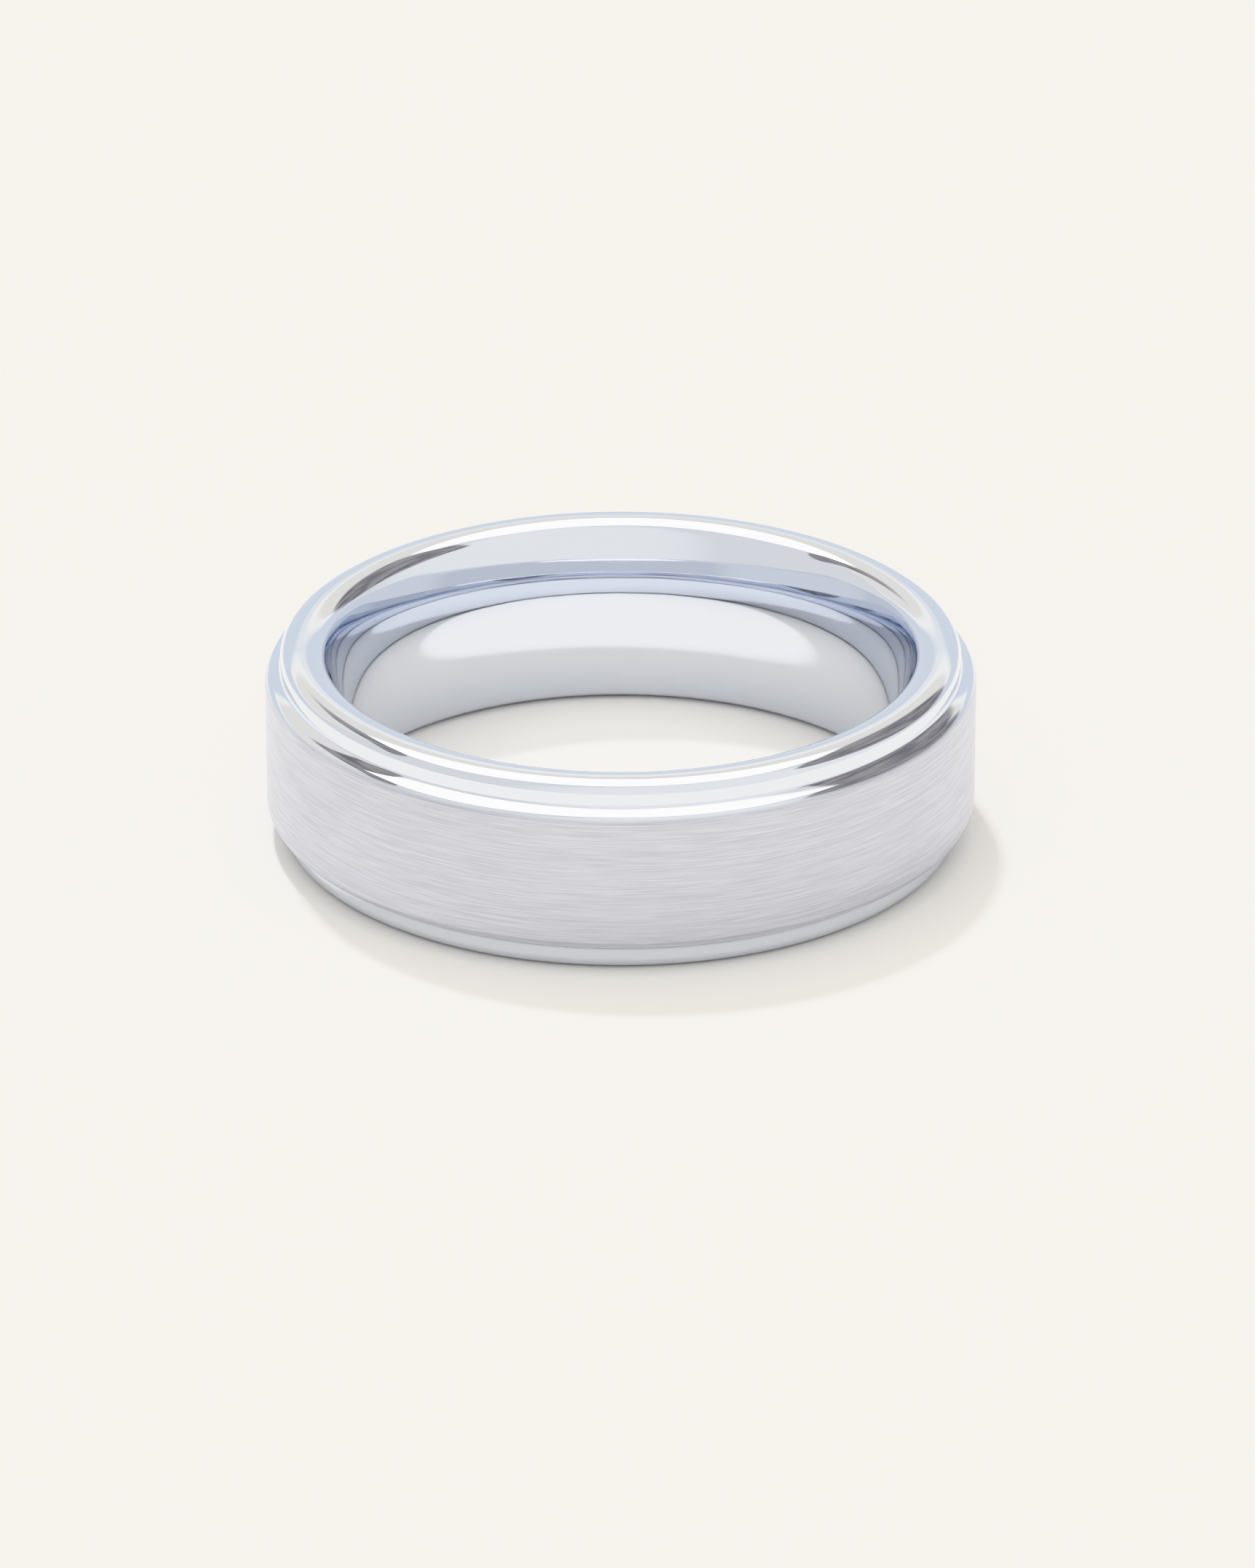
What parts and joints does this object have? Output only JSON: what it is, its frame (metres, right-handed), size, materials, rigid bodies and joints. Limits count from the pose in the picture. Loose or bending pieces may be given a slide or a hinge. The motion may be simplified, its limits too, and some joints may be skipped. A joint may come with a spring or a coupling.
{
  "type": "wedding band",
  "caption": "Plain white metal finger ring: a raised satin centre between two lower polished rims, with a bore that opens towards each side.",
  "frame": {"origin": "centre of the circle on which the band lies: on its axis, in the plane of the lower rim land", "axes": "+Z along the finger axis, up as the band lies flat; X and Y are any two radial directions, because the band is round"},
  "size_m": [0.0214, 0.0214, 0.006],
  "materials": {
    "white_metal": "solid white precious metal: fine circumferential satin on the raised centre, bright polish on the ledges, rims and bore"
  },
  "bodies": {
    "root": {"band": "white_metal"}
  },
  "joints": []
}
